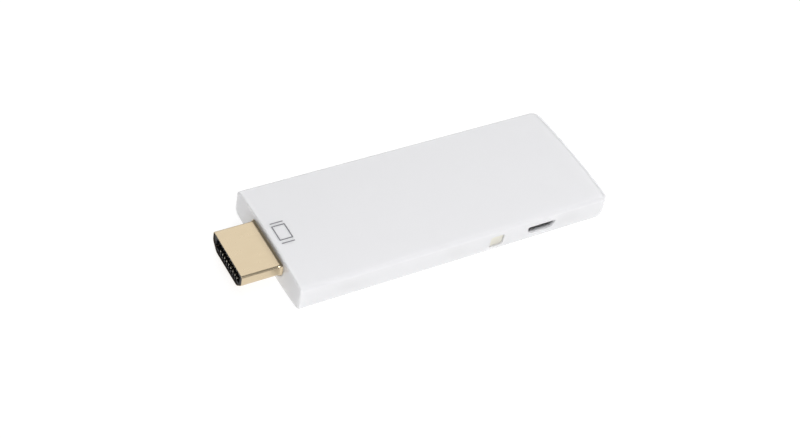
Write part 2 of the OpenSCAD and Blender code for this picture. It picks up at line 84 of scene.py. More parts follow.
# The printed sign: a screen outline between two bars, placed from the casing's plug end
sign = dict(
    line=0.25 * mm, thick=0.04 * mm, proud=0.012 * mm,
    frameX=(1.75 * mm, 4.6 * mm), frameY=(-1.8 * mm, 2.2 * mm),
    barX=(1.7 * mm, 4.65 * mm), barY=(3.05 * mm, -2.75 * mm),
)
# Posts with pins and holes, and hooks with pockets, that hold the two covers together
fixing = dict(
    postFront=6.5 * mm, postEnd=7 * mm, postY=10.8 * mm, postWide=3.2 * mm, postTop=6.3 * mm,
    pinWide=1.3 * mm, pinTop=4.1 * mm, pinHole=1.5 * mm, holeDepth=1.7 * mm, sunk=0.2 * mm,
    hookPlaces=(12 * mm, 37 * mm, 66 * mm),
    hookLong=4 * mm, hookOut=13.85 * mm, hookThick=0.8 * mm, hookTop=4.6 * mm, barb=0.35 * mm,
    barbTall=0.9 * mm, barbFlat=0.1 * mm,
    pocketWide=4.4 * mm, pocketLow=3.3 * mm, pocketHigh=4.8 * mm, pocketIn=13.55 * mm, pocketOut=14.55 * mm,
)
# The push button's cap; "lean" is how low it hangs in its opening, "dish" hollows its face
button = dict(
    wide=3.3 * mm, tall=3 * mm, middle=3.5 * mm, corner=0.5 * mm, gap=0.08 * mm, soft=0.06 * mm,
    lean=0.07 * mm, flangeGap=0.1 * mm, dish=((0.82, 0.015 * mm), (0.74, 0.02 * mm), (0.6, 0.015 * mm)),
)
plug["shoulderZ"] = plug["height"] / 2 - plug["side"]
socket["shoulderZ"] = socket["shoulder"] - socket["height"] / 2
plugSpot = (0, plug["middle"])
socketSpot = (socketX, socket["middle"])
postPlaces = [(x, y) for x in (faceX + fixing["postFront"], endX - fixing["postEnd"])
              for y in (fixing["postY"], -fixing["postY"])]
hookPlaces = [faceX + reach for reach in fixing["hookPlaces"]]


def clearAll():
    if bpy.context.mode != "OBJECT":
        bpy.ops.object.mode_set(mode="OBJECT")
    bpy.ops.object.select_all(action="DESELECT")


def choose(piece):
    clearAll()
    piece.select_set(True)
    bpy.context.view_layer.objects.active = piece


def openEdit(piece):
    choose(piece)
    bpy.ops.object.mode_set(mode="EDIT")
    bpy.ops.mesh.select_all(action="DESELECT")


def closeEdit():
    bpy.ops.object.mode_set(mode="OBJECT")


def pick(piece, kind, test):
    # selects each vertex, edge or face whose middle passes the test, and nothing else
    bpy.ops.mesh.select_mode(type=kind)
    bpy.ops.mesh.select_all(action="DESELECT")
    mesh = bmesh.from_edit_mesh(piece.data)
    for part in {"VERT": mesh.verts, "EDGE": mesh.edges, "FACE": mesh.faces}[kind]:
        if kind == "VERT":
            spot = part.co
        elif kind == "EDGE":
            spot = (part.verts[0].co + part.verts[1].co) / 2
        else:
            spot = part.calc_center_median()
        if test(part, spot):
            part.select = True
    mesh.select_flush_mode()
    bmesh.update_edit_mesh(piece.data)


def block(name, low, high):
    clearAll()
    low, high = Vector(low), Vector(high)
    bpy.ops.mesh.primitive_cube_add(size=1, location=(low + high) / 2, scale=high - low)
    piece = bpy.context.object
    piece.name = piece.data.name = name
    bpy.ops.object.transform_apply(location=True, rotation=True, scale=True)
    return piece


def rod(name, low, radius, height):
    clearAll()
    middle = Vector(low) + Vector((0, 0, height / 2))
    bpy.ops.mesh.primitive_cylinder_add(vertices=32, radius=radius, depth=height, location=middle)
    piece = bpy.context.object
    piece.name = piece.data.name = name
    bpy.ops.object.transform_apply(location=True, rotation=True, scale=True)
    return piece


def slide(offset):
    bpy.ops.transform.translate(value=offset)


def squeeze(factors, centre):
    bpy.ops.transform.resize(value=factors, center_override=centre)


def roundEdges(width, segments):
    bpy.ops.mesh.bevel(offset=width, offset_type="OFFSET", segments=segments, profile=0.5, affect="EDGES")


def drawOut(offset):
    bpy.ops.mesh.extrude_region_move(TRANSFORM_OT_translate={"value": offset})


def cut(spot, normal):
    bpy.ops.mesh.select_all(action="SELECT")
    bpy.ops.mesh.bisect(plane_co=spot, plane_no=normal)


def applied(piece, kind, **settings):
    choose(piece)
    modifier = piece.modifiers.new(kind.title(), kind)
    for key, value in settings.items():
        setattr(modifier, key, value)
    bpy.ops.object.modifier_apply(modifier=modifier.name)


def carve(piece, tool, how="DIFFERENCE"):
    applied(piece, "BOOLEAN", object=tool, operation=how, solver="EXACT")
    bpy.data.objects.remove(tool)


def weld(pieces, name):
    clearAll()
    for piece in pieces:
        piece.select_set(True)
    bpy.context.view_layer.objects.active = pieces[0]
    bpy.ops.object.join()
    joined = bpy.context.object
    joined.name = joined.data.name = name
    return joined


def polish(piece, degrees=32):
    # smooth shading that keeps real corners, with flat faces left flat
    choose(piece)
    bpy.ops.object.shade_smooth_by_angle(angle=math.radians(degrees))
    applied(piece, "WEIGHTED_NORMAL", keep_sharp=True, weight=80)


def soften(piece, width, degrees=40):
    applied(
        piece, "BEVEL", width=width, segments=2, limit_method="ANGLE",
        angle_limit=math.radians(degrees), miter_outer="MITER_ARC", harden_normals=False,
    )


def crownDrop(y, rise, flat):
    # how far the crowned surface lies from its highest or lowest line at this distance across
    beyond = max(abs(y) - flat, 0)
    return rise * (beyond / (halfWidth - flat)) ** 2


def castCasing(name, inset):
    # the casing's outer form as one solid, or the room inside it when it is set in from all sides
    c = casing
    half = halfWidth - inset
    noseX = endX - c["endRound"]
    step = 2 * half / c["rows"]
    piece = block(name, (faceX + inset, -half, inset), (noseX, half, topZ - sign["proud"] - inset))
    openEdit(piece)
    for row in range(1, c["rows"]):
        cut((0, -half + row * step, 0), (0, 1, 0))
    for row in range(c["rows"] + 1):
        y = -half + row * step
        pick(piece, "VERT", lambda v, p: abs(p.y - y) < tiny and p.z > topZ / 2)
        slide((0, 0, -crownDrop(y, c["crown"], 0)))
        pick(piece, "VERT", lambda v, p: abs(p.y - y) < tiny and p.z < topZ / 2)
        slide((0, 0, crownDrop(y, c["baseCrown"], c["flatHalf"])))
    pick(piece, "EDGE", lambda e, p: abs(abs(p.y) - half) < tiny and p.z > topZ / 2
         and abs(e.verts[0].co.x - e.verts[1].co.x) > mm)
    roundEdges(max(c["topEdge"] - inset / 2, c["leastRound"]), 6)
    pick(piece, "EDGE", lambda e, p: abs(abs(p.y) - half) < tiny and p.z < topZ / 2
         and abs(e.verts[0].co.x - e.verts[1].co.x) > mm and abs(e.verts[0].co.y) > half - tiny
         and p.z < c["baseCrown"] + inset + tiny)
    roundEdges(max(c["baseEdge"] - inset / 2, c["leastRound"]), 6)
    # far end: the cap is drawn out in short steps, each smaller, round in plan and in profile
    pick(piece, "FACE", lambda f, p: f.normal.x > 0.9)
    reach = c["endRound"] - inset
    lastX, lastY, lastZ = 0, 1, 1
    for i in range(1, c["noseSteps"] + 1):
        turn = math.radians(90 * i / c["noseSteps"])
        x = reach * math.sin(turn)
        y = (half - reach + reach * math.cos(turn)) / half
        z = c["noseEnd"] + (1 - c["noseEnd"]) * math.cos(turn)
        drawOut((x - lastX, 0, 0))
        squeeze((1, y / lastY, z / lastZ), (noseX + x, 0, c["noseMid"]))
        lastX, lastY, lastZ = x, y, z
    pick(piece, "FACE", lambda f, p: p.x > endX - inset - tiny)
    bpy.ops.mesh.dissolve_faces()
    # plug end: one flat face with a small round edge
    pick(piece, "FACE", lambda f, p: f.normal.x < -0.9)
    bpy.ops.mesh.dissolve_faces()
    if not inset:
        pick(piece, "EDGE", lambda e, p: max(v.co.x for v in e.verts) < faceX + tiny)
        roundEdges(c["frontEdge"], 4)
    closeEdit()
    return piece


def taperBar(name, form, inset, start, end, along="x", middle=(0, 0)):
    # D-shaped bar: upright sides, then slanting in to a narrower bottom, with every long edge round
    half, base = form["width"] / 2, form["base"] / 2
    top, bottom = form["height"] / 2, -form["height"] / 2
    shoulder = form["shoulderZ"]
    slant = Vector((shoulder - bottom, base - half)).normalized()
    reach = slant.x * half + slant.y * shoulder - inset
    newHalf, newTop, newBottom = half - inset, top - inset, bottom + inset
    newShoulder = (reach - slant.x * newHalf) / slant.y
    newBase = (reach - slant.y * newBottom) / slant.x
    cx, cz = middle
    if along == "x":
        piece = block(name, (start, cx - newHalf, cz + newBottom), (end, cx + newHalf, cz + newTop))
        side, run = 1, 0
    else:
        piece = block(name, (cx - newHalf, start, cz + newBottom), (cx + newHalf, end, cz + newTop))
        side, run = 0, 1
    openEdit(piece)
    cut((0, 0, cz + newShoulder), (0, 0, 1))
    pick(piece, "VERT", lambda v, p: p.z < cz + newBottom + tiny)
    factors, centre = [1, 1, 1], [0, 0, cz + newBottom]
    factors[side], centre[side] = newBase / newHalf, cx
    squeeze(factors, centre)
    pick(piece, "EDGE", lambda e, p: abs(e.verts[0].co[run] - e.verts[1].co[run]) > mm)
    roundEdges(max(form["bend"] - inset, 0.1 * mm), 5)
    closeEdit()
    return piece


def addPost(body, x, y, low, high, width):
    carve(body, rod("post", (x, y, low), width / 2, high - low), how="UNION")


def makeTopShell():
    c = casing
    shell = castCasing("topShell", 0)
    hollow = castCasing("hollow", c["wall"])
    aboveFloor = block("aboveFloor", (faceX, -halfWidth, c["floor"]), (endX, halfWidth, topZ))
    carve(hollow, aboveFloor, how="INTERSECT")
    carve(shell, hollow)
    gap = c["rim"] - c["seam"]
    carve(shell, block("plateRoom", (faceX + gap, -halfWidth + gap, -mm),
                       (endX - c["plateEnd"] + c["seam"], halfWidth - gap, c["floor"] + c["ledgeGap"])))
    carve(shell, taperBar("plugRoom", plug, -plug["flareOut"] - plug["gap"],
                          faceX - mm, faceX + c["wall"] + mm, middle=plugSpot))
    carve(shell, taperBar("socketRoom", socket, socket["mouthInset"], -halfWidth - mm,
                          -halfWidth + c["wall"] + mm, along="y", middle=socketSpot))
    # the wall is thinner round the power opening, with a pocket behind it for the socket's front edge
    carve(shell, taperBar("socketPocket", socket, -socket["pocketGap"], -halfWidth + socket["lipWall"],
                          -halfWidth + c["wall"] + mm, along="y", middle=socketSpot))
    roomHalf, roomTall = button["wide"] / 2 + button["gap"], button["tall"] / 2 + button["gap"]
    room = block("buttonRoom", (buttonX - roomHalf, -halfWidth - mm, button["middle"] - roomTall),
                 (buttonX + roomHalf, -halfWidth + c["wall"] + mm, button["middle"] + roomTall))
    openEdit(room)
    pick(room, "EDGE", lambda e, p: abs(e.verts[0].co.y - e.verts[1].co.y) > mm)
    roundEdges(button["corner"] + button["gap"], 5)
    closeEdit()
    carve(shell, room)
    for x, y in postPlaces:
        addPost(shell, x, y, boardTop, fixing["postTop"], fixing["postWide"])
        carve(shell, rod("pinRoom", (x, y, boardTop - mm), fixing["pinHole"] / 2, fixing["holeDepth"] + mm))
    for x in hookPlaces:
        for side in (-1, 1):
            half = fixing["pocketWide"] / 2
            inner, outer = sorted((side * fixing["pocketIn"], side * fixing["pocketOut"]))
            carve(shell, block("hookRoom", (x - half, inner, fixing["pocketLow"]),
                               (x + half, outer, fixing["pocketHigh"])))
    # the power opening has a soft lower lip, and all three openings have a small worn edge
    lipHalf, lipTop = socket["width"] / 2 - socket["lipIn"], socket["middle"] - socket["lipDrop"]
    sideLow, sideHigh = c["baseEdge"], topZ - 2 * c["topEdge"]
    openEdit(shell)
    pick(shell, "EDGE", lambda e, p: max(v.co.y for v in e.verts) < tiny - halfWidth
         and e.calc_face_angle(0) > 1 and p.z < lipTop and abs(p.x - socketX) < lipHalf)
    roundEdges(socket["lip"], 5)
    pick(shell, "EDGE", lambda e, p: max(v.co.y for v in e.verts) < tiny - halfWidth
         and e.calc_face_angle(0) > 1 and sideLow < p.z < sideHigh)
    roundEdges(c["worn"], 2)
    pick(shell, "EDGE", lambda e, p: max(v.co.x for v in e.verts) < faceX + tiny
         and e.calc_face_angle(0) > 1 and abs(p.y) < plug["width"] / 2 + mm)
    roundEdges(c["worn"], 2)
    closeEdit()
    polish(shell)
    return shell


topShell = makeTopShell()
print("top shell:", len(topShell.data.polygons), "faces")
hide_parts("top_cover")
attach(topShell, "casing")


def bendHook(x, side):
    f = fixing
    inner, outer = side * (f["hookOut"] - f["hookThick"]), side * f["hookOut"]
    hook = block("hook", (x - f["hookLong"] / 2, min(inner, outer), casing["floor"] - f["sunk"]),
                 (x + f["hookLong"] / 2, max(inner, outer), f["hookTop"]))
    openEdit(hook)
    ledge = f["hookTop"] - f["barbTall"]
    cut((0, 0, ledge - f["barbFlat"]), (0, 0, 1))
    cut((0, 0, ledge), (0, 0, 1))
    pick(hook, "VERT", lambda v, p: abs(p.z - ledge) < tiny and abs(p.y - outer) < tiny)
    slide((0, side * f["barb"], 0))
    closeEdit()
    return hook


def makePlate():
    c, f = casing, fixing
    plate = castCasing("basePlate", 0)
    carve(plate, block("plateSpace", (faceX + c["rim"], -halfWidth + c["rim"], -mm),
                       (endX - c["plateEnd"], halfWidth - c["rim"], c["floor"])), how="INTERSECT")
    for x, y in postPlaces:
        addPost(plate, x, y, c["floor"] - f["sunk"], boardLow.z, f["postWide"])
        addPost(plate, x, y, boardLow.z - f["sunk"], f["pinTop"], f["pinWide"])
    for x in hookPlaces:
        for side in (-1, 1):
            carve(plate, bendHook(x, side), how="UNION")
    polish(plate)
    return plate


basePlate = makePlate()
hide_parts("bottom_cover")
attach(basePlate, "casing")
print("base plate done")


def mouthHalf(z):
    # half the width of the plug's shell at this height
    p = plug
    below = max(p["middle"] + p["shoulderZ"] - z, 0) / (p["height"] - p["side"])
    return p["width"] / 2 - below * (p["width"] - p["base"]) / 2


def makePlugShell():
    p = plug
    flareX = faceX - p["flareLength"]
    shell = taperBar("plugShell", p, 0, tipX, flareX, middle=plugSpot)
    openEdit(shell)
    pick(shell, "FACE", lambda f, s: abs(f.normal.x) > 0.9)
    bpy.ops.mesh.delete(type="FACE")
    pick(shell, "EDGE", lambda e, s: min(v.co.x for v in e.verts) > flareX - tiny)
    # the root spreads out in short steps, most of it close to the casing, then steps back inside
    steps = p["flareSteps"]
    width, height = p["width"], p["height"]
    for i in range(1, steps + 1):
        grow = 2 * p["flareOut"] * (i / steps) ** p["flareCurve"]
        drawOut((p["flareLength"] / steps, 0, 0))
        squeeze((1, (p["width"] + grow) / width, (p["height"] + grow) / height),
                (flareX, 0, p["middle"]))
        width, height = p["width"] + grow, p["height"] + grow
    drawOut((casing["wall"], 0, 0))
    drawOut((p["stepBack"], 0, 0))
    squeeze((1, p["width"] / width, p["height"] / height), (flareX, 0, p["middle"]))
    drawOut((p["back"] - casing["wall"] - p["stepBack"], 0, 0))
    closeEdit()
    applied(shell, "SOLIDIFY", thickness=p["sheet"], offset=-1, use_even_offset=True)
    openEdit(shell)
    # a small round outside the mouth and a wider slope inside it
    inward = p["sheet"] * p["mouthIn"]
    pick(shell, "EDGE", lambda e, s: max(v.co.x for v in e.verts) < tipX + tiny
         and e.calc_face_angle(0) > 1 and abs(s.z - p["middle"]) < p["height"] / 2 - inward
         and abs(s.y) < mouthHalf(s.z) - inward)
    roundEdges(p["mouthSlope"], 3)
    pick(shell, "EDGE", lambda e, s: max(v.co.x for v in e.verts) < tipX + tiny
         and e.calc_face_angle(0) > 1)
    roundEdges(p["mouthRound"], 2)
    closeEdit()
    # two legs stand through the board behind it
    legs = []
    for side in (-1, 1):
        inner, outer = side * (p["width"] / 2 - p["sheet"]), side * p["width"] / 2
        foot = boardLow.z - p["legDrop"]
        leg = block("leg", (faceX + p["back"] - fixing["sunk"], min(inner, outer), foot),
                    (plugHigh.x, max(inner, outer), foot + p["legTall"]))
        soften(leg, p["legEdge"])
        legs.append(leg)
    shell = weld([shell, *legs], "plugShell")
    polish(shell, 38)
    return shell


plugShell = makePlugShell()
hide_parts("plug_shell")
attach(plugShell, "casing")
print("plug shell:", len(plugShell.data.polygons), "faces")

coreLow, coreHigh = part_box("plug_insulator")
core = dict(grooveWide=0.6 * mm, grooveDeep=0.62 * mm, pitch=1 * mm, edge=0.05 * mm)


def makePlugCore():
    p, k = plug, core
    piece = taperBar("plugCore", p, p["sheet"], coreLow.x, coreHigh.x, middle=plugSpot)
    low, high = p["middle"] - p["slotHeight"] / 2, p["middle"] + p["slotHeight"] / 2
    slot = block("coreSlot", (coreLow.x - mm, -p["slotWidth"] / 2, low),
                 (coreLow.x + p["slotDepth"], p["slotWidth"] / 2, high))
    carve(piece, slot)
    for count, z in ((10, high), (9, low)):
        first = -k["pitch"] * (count - 1) / 2
        teeth = []
        for i in range(count):
            y = first + i * k["pitch"]
            teeth.append(block("tooth", (coreLow.x - mm, y - k["grooveWide"] / 2, z - k["grooveDeep"]),
                               (coreLow.x + p["slotDepth"], y + k["grooveWide"] / 2, z + k["grooveDeep"])))
        carve(piece, weld(teeth, "comb"))
    soften(piece, k["edge"], degrees=50)
    polish(piece, 40)
    return piece


plugCore = makePlugCore()
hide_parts("plug_insulator")
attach(plugCore, "casing")
print("plug core:", len(plugCore.data.polygons), "faces")

contact = dict(wide=0.4 * mm, thick=0.2 * mm, tipDrop=0.5 * mm, round=0.09 * mm, bendGap=0.1 * mm)


def copyOf(piece, offset):
    choose(piece)
    bpy.ops.object.duplicate(linked=False)
    twin = bpy.context.object
    openEdit(twin)
    bpy.ops.mesh.select_all(action="SELECT")
    slide(offset)
    closeEdit()
    return twin


def makeContactRow(name, node, count):
    # one strip is bent down from its beam to its tail on the board, then copied across
    c = contact
    low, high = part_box(node)
    upper = high.z > plug["middle"]
    beam = high.z - c["thick"]
    bend = coreHigh.x + c["bendGap"]
    strip = block(name, (low.x, -c["wide"] / 2, beam), (bend, c["wide"] / 2, high.z))
    openEdit(strip)
    pick(strip, "FACE", lambda f, p: f.normal.x > 0.9)
    drawOut((c["thick"], 0, 0))
    pick(strip, "FACE", lambda f, p: f.normal.z < -0.9 and p.x > bend)
    drawOut((0, 0, low.z + c["thick"] - beam))
    drawOut((0, 0, -c["thick"]))
    pick(strip, "FACE", lambda f, p: f.normal.x > 0.9 and p.z < low.z + c["thick"])
    drawOut((high.x - bend - c["thick"], 0, 0))
    # the free end turns away from the slot, into its groove
    cut((low.x + c["thick"], 0, 0), (1, 0, 0))
    away = 1 if upper else -1
    pick(strip, "FACE", lambda f, p: f.normal.z * away > 0.9 and p.x < low.x + c["thick"])
    drawOut((0, 0, away * c["tipDrop"]))
    turnZ = beam if upper else high.z
    pick(strip, "EDGE", lambda e, p: abs(p.x - low.x) < tiny and abs(p.z - turnZ) < tiny)
    roundEdges(c["round"], 3)
    closeEdit()
    first = -core["pitch"] * (count - 1) / 2
    strips = [copyOf(strip, (0, first + i * core["pitch"], 0)) for i in range(count)]
    bpy.data.objects.remove(strip)
    row = weld(strips, name)
    polish(row, 30)
    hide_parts(node)
    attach(row, "casing")
    return row


upperContacts = makeContactRow("upperContacts", "plug_contacts_upper", 10)
lowerContacts = makeContactRow("lowerContacts", "plug_contacts_lower", 9)
print("plug contacts done")


def makeButtonCap():
    b = button
    half, tall = b["wide"] / 2, b["tall"] / 2
    flangeY = -halfWidth + casing["wall"] + b["flangeGap"]
    cap = block("buttonCap", (buttonX - half, buttonLow.y, b["middle"] - tall),
                (buttonX + half, flangeY, b["middle"] + tall))
    openEdit(cap)
    pick(cap, "EDGE", lambda e, p: abs(e.verts[0].co.y - e.verts[1].co.y) > mm / 2)
    roundEdges(b["corner"], 5)
    pick(cap, "EDGE", lambda e, p: max(v.co.y for v in e.verts) < buttonLow.y + tiny)
    roundEdges(b["soft"], 5)
    pick(cap, "FACE", lambda f, p: f.normal.y < -0.99)
    for shrink, deeper in b["dish"]:
        drawOut((0, deeper, 0))
        squeeze((shrink, 1, shrink), (buttonX, buttonLow.y, b["middle"]))
    # the flange that holds it in is drawn out of its back
    pick(cap, "FACE", lambda f, p: f.normal.y > 0.99)
    drawOut((0, 0, 0))
    size = buttonHigh - buttonLow
    squeeze((size.x / b["wide"], 1, size.z / b["tall"]), (buttonX, flangeY, b["middle"]))
    slide((0, 0, (buttonHigh.z + buttonLow.z) / 2 - b["middle"]))
    drawOut((0, buttonHigh.y - flangeY, 0))
    # the cap hangs a little low in its opening
    pick(cap, "VERT", lambda v, p: p.y < flangeY - tiny)
    slide((b["lean"], 0, -b["lean"]))
    closeEdit()
    polish(cap, 35)
    return cap


buttonCap = makeButtonCap()
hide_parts("mode_button")
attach(buttonCap, "button")
print("button done")


foot = dict(thick=0.24 * mm, back=2.6 * mm, front=0.8 * mm, tall=1.2 * mm, out=0.78 * mm, edge=0.05 * mm)


def makeSocketShell():
    s, f = socket, foot
    shell = taperBar("socketShell", s, 0, socketLow.y, socketHigh.y, along="y", middle=socketSpot)
    openEdit(shell)
    pick(shell, "FACE", lambda f, p: abs(f.normal.y) > 0.9)
    bpy.ops.mesh.delete(type="FACE")
    closeEdit()
    applied(shell, "SOLIDIFY", thickness=s["sheet"], offset=-1, use_even_offset=True)
    openEdit(shell)
    pick(shell, "EDGE", lambda e, p: max(v.co.y for v in e.verts) < socketLow.y + tiny
         and e.calc_face_angle(0) > 1)
    roundEdges(s["mouthRound"], 2)
    closeEdit()
    feet = []
    for side in (-1, 1):
        edge = socketX + side * s["width"] / 2
        web = block("web", (edge - f["thick"] / 2, socketHigh.y - f["back"], boardTop),
                    (edge + f["thick"] / 2, socketHigh.y - f["front"], boardTop + f["tall"]))
        openEdit(web)
        cut((0, 0, boardTop + s["sheet"]), (0, 0, 1))
        pick(web, "FACE", lambda face, p: face.normal.x * side > 0.9 and p.z < boardTop + s["sheet"])
        drawOut((side * f["out"], 0, 0))
        closeEdit()
        soften(web, f["edge"])
        feet.append(web)
    whole = weld([shell, *feet], "socketShell")
    polish(whole, 35)
    return whole


socketShell = makeSocketShell()
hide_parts("socket_shell")
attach(socketShell, "casing")
print("socket done")


def layOnCrown(piece):
    # bends a flat print down to the crowned top, row by row
    fine = tiny / 8
    rows = sorted({round(v.co.y / fine) for v in piece.data.vertices})
    openEdit(piece)
    for row in rows:
        y = row * fine
        pick(piece, "VERT", lambda v, p: abs(p.y - y) < fine)
        slide((0, 0, -crownDrop(y, casing["crown"], 0)))
    closeEdit()


def makeSign():
    # a plain screen outline between two bars, for the end that plugs into a screen
    g = sign
    low, high = topZ - g["thick"], topZ
    half = g["line"] / 2
    x0, x1 = (faceX + v for v in g["frameX"])
    y0, y1 = g["frameY"]
    frameRing = block("portSign", (x0 - half, y0 - half, low), (x1 + half, y1 + half, high))
    carve(frameRing, block("signHole", (x0 + half, y0 + half, low - mm), (x1 - half, y1 - half, high + mm)))
    openEdit(frameRing)
    for i in range(1, 8):
        cut((0, y0 + (y1 - y0) * i / 8, 0), (0, 1, 0))
    closeEdit()
    bars = [block("signBar", (faceX + g["barX"][0], y - half, low), (faceX + g["barX"][1], y + half, high))
            for y in g["barY"]]
    whole = weld([frameRing, *bars], "portSign")
    layOnCrown(whole)
    polish(whole, 30)
    return whole


portSign = makeSign()
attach(portSign, "casing")
print("sign done")


def fineGrain():
    # shared surface break-up: a slight colour drift, a roughness drift and a fine height
    group = bpy.data.node_groups.new("fineGrain", "ShaderNodeTree")
    face = group.interface
    for name, kind, value in (
        ("Base", "NodeSocketColor", (0.8, 0.8, 0.8, 1)), ("Shade", "NodeSocketColor", (0.7, 0.7, 0.7, 1)),
        ("Stretch", "NodeSocketVector", (1, 1, 1)), ("Patch Scale", "NodeSocketFloat", 60),
        ("Grain Scale", "NodeSocketFloat", 4000), ("Drift", "NodeSocketFloat", 0.3),
        ("Rough Low", "NodeSocketFloat", 0.2), ("Rough High", "NodeSocketFloat", 0.3),
    ):
        face.new_socket(name=name, in_out="INPUT", socket_type=kind).default_value = value
    face.new_socket(name="Color", in_out="OUTPUT", socket_type="NodeSocketColor")
    face.new_socket(name="Roughness", in_out="OUTPUT", socket_type="NodeSocketFloat")
    face.new_socket(name="Height", in_out="OUTPUT", socket_type="NodeSocketFloat")
    add, link = group.nodes.new, group.links.new
    given, out = add("NodeGroupInput"), add("NodeGroupOutput")
    where, scaled = add("ShaderNodeTexCoord"), add("ShaderNodeVectorMath")
    scaled.operation = "MULTIPLY"
    link(where.outputs["Object"], scaled.inputs[0])
    link(given.outputs["Stretch"], scaled.inputs[1])
    patch, grain = add("ShaderNodeTexNoise"), add("ShaderNodeTexNoise")
    patch.inputs["Detail"].default_value = 3
    grain.inputs["Detail"].default_value = 4
    link(scaled.outputs[0], patch.inputs["Vector"])
    link(scaled.outputs[0], grain.inputs["Vector"])
    link(given.outputs["Patch Scale"], patch.inputs["Scale"])
    link(given.outputs["Grain Scale"], grain.inputs["Scale"])
    drift, mix = add("ShaderNodeMath"), add("ShaderNodeMix")
    drift.operation = "MULTIPLY"
    mix.data_type = "RGBA"
    link(patch.outputs[0], drift.inputs[0])
    link(given.outputs["Drift"], drift.inputs[1])
    link(drift.outputs[0], mix.inputs[0])
    link(given.outputs["Base"], mix.inputs[6])
    link(given.outputs["Shade"], mix.inputs[7])
    link(mix.outputs[2], out.inputs["Color"])
    blend, span = add("ShaderNodeMath"), add("ShaderNodeMapRange")
    blend.operation = "MULTIPLY_ADD"
    blend.inputs[1].default_value = 0.5
    link(grain.outputs[0], blend.inputs[0])
    link(drift.outputs[0], blend.inputs[2])
    link(blend.outputs[0], span.inputs["Value"])
    link(given.outputs["Rough Low"], span.inputs["To Min"])
    link(given.outputs["Rough High"], span.inputs["To Max"])
    link(span.outputs[0], out.inputs["Roughness"])
    link(grain.outputs[0], out.inputs["Height"])
    return group


grainGroup = fineGrain()


def finish(name, base, shade, rough, metal=0.0, coat=0.0, coatRough=0.05, stretch=(1, 1, 1),
           patch=60, grain=4000, drift=0.3, bump=0.02, depth=0.01 * mm, through=0.0, ior=1.5):
    material = bpy.data.materials.new(name)
    material.use_nodes = True
    nodes, link = material.node_tree.nodes, material.node_tree.links.new
    shader = nodes["Principled BSDF"]
    made = nodes.new("ShaderNodeGroup")
    made.node_tree = grainGroup
    made.inputs["Base"].default_value = (*base, 1)
    made.inputs["Shade"].default_value = (*shade, 1)
    made.inputs["Stretch"].default_value = stretch
    made.inputs["Patch Scale"].default_value = patch
    made.inputs["Grain Scale"].default_value = grain
    made.inputs["Drift"].default_value = drift
    made.inputs["Rough Low"].default_value = rough[0]
    made.inputs["Rough High"].default_value = rough[1]
    link(made.outputs["Color"], shader.inputs["Base Color"])
    link(made.outputs["Roughness"], shader.inputs["Roughness"])
    lift = nodes.new("ShaderNodeBump")
    lift.inputs["Strength"].default_value = bump
    lift.inputs["Distance"].default_value = depth
    link(made.outputs["Height"], lift.inputs["Height"])
    link(lift.outputs[0], shader.inputs["Normal"])
    shader.inputs["Metallic"].default_value = metal
    shader.inputs["Coat Weight"].default_value = coat
    shader.inputs["Coat Roughness"].default_value = coatRough
    shader.inputs["IOR"].default_value = ior
    shader.inputs["Subsurface Weight"].default_value = through
    shader.inputs["Subsurface Radius"].default_value = (1, 1, 1)
    shader.inputs["Subsurface Scale"].default_value = 1.5 * mm
    return material


def dress(piece, material):
    piece.data.materials.clear()
    piece.data.materials.append(material)


glossWhite = finish("glossWhite", (0.84, 0.84, 0.86), (0.815, 0.815, 0.835), (0.16, 0.22),
                    coat=0.3, coatRough=0.08, patch=40, grain=2500, drift=0.4, bump=0.03, through=0.9)
paleGold = finish("paleGold", (0.68, 0.565, 0.395), (0.62, 0.51, 0.345), (0.24, 0.34), metal=1.0,
                  stretch=(1, 4, 4), patch=250, grain=2500, drift=0.4, bump=0.04)
creamNylon = finish("creamNylon", (0.76, 0.74, 0.66), (0.71, 0.685, 0.60), (0.35, 0.45), through=0.3)
blackResin = finish("blackResin", (0.008, 0.008, 0.009), (0.014, 0.014, 0.015), (0.45, 0.6), ior=1.4)
flashPlate = finish("flashPlate", (0.80, 0.76, 0.66), (0.70, 0.65, 0.54), (0.2, 0.32), metal=1.0)
tinPlate = finish("tinPlate", (0.62, 0.62, 0.62), (0.5, 0.5, 0.5), (0.25, 0.4), metal=1.0, stretch=(1, 5, 5))
# painted shade: a dark metal for the socket shell's inner walls, standing in for the shade inside the power
# socket
paintedSocketShade = finish("paintedSocketShade", (0.10, 0.10, 0.10), (0.07, 0.07, 0.07), (0.5, 0.6), metal=1.0)
# painted shade: a near-black metal for the plug shell's inner slope and inner walls near its mouth, standing
# in for the shade inside the mouth
paintedMouthShade = finish("paintedMouthShade", (0.06, 0.05, 0.04), (0.04, 0.035, 0.03), (0.5, 0.6), metal=1.0)
greenMask = finish("greenMask", (0.02, 0.14, 0.07), (0.01, 0.09, 0.045), (0.25, 0.4), coat=0.4)
blueMask = finish("blueMask", (0.02, 0.07, 0.18), (0.015, 0.05, 0.13), (0.25, 0.4), coat=0.4)
chipEpoxy = finish("chipEpoxy", (0.03, 0.03, 0.032), (0.045, 0.045, 0.047), (0.5, 0.65), bump=0.2)
padSilicone = finish("padSilicone", (0.30, 0.37, 0.45), (0.26, 0.32, 0.40), (0.6, 0.75))
rolledAlloy = finish("rolledAlloy", (0.75, 0.75, 0.76), (0.65, 0.65, 0.66), (0.25, 0.4), metal=1.0,
                     stretch=(1, 12, 12))
ferriteGrey = finish("ferriteGrey", (0.09, 0.09, 0.10), (0.14, 0.14, 0.15), (0.5, 0.7), bump=0.2)
ceramicTan = finish("ceramicTan", (0.42, 0.28, 0.16), (0.52, 0.36, 0.22), (0.35, 0.5))
glazeBlack = finish("glazeBlack", (0.02, 0.02, 0.024), (0.03, 0.03, 0.035), (0.2, 0.3))
plungerNylon = finish("plungerNylon", (0.6, 0.56, 0.46), (0.52, 0.48, 0.38), (0.4, 0.5))
signInk = finish("signInk", (0.20, 0.20, 0.22), (0.28, 0.28, 0.30), (0.4, 0.5))
lampResin = finish("lampResin", (0.82, 0.76, 0.4), (0.75, 0.68, 0.3), (0.1, 0.2), through=0.3)

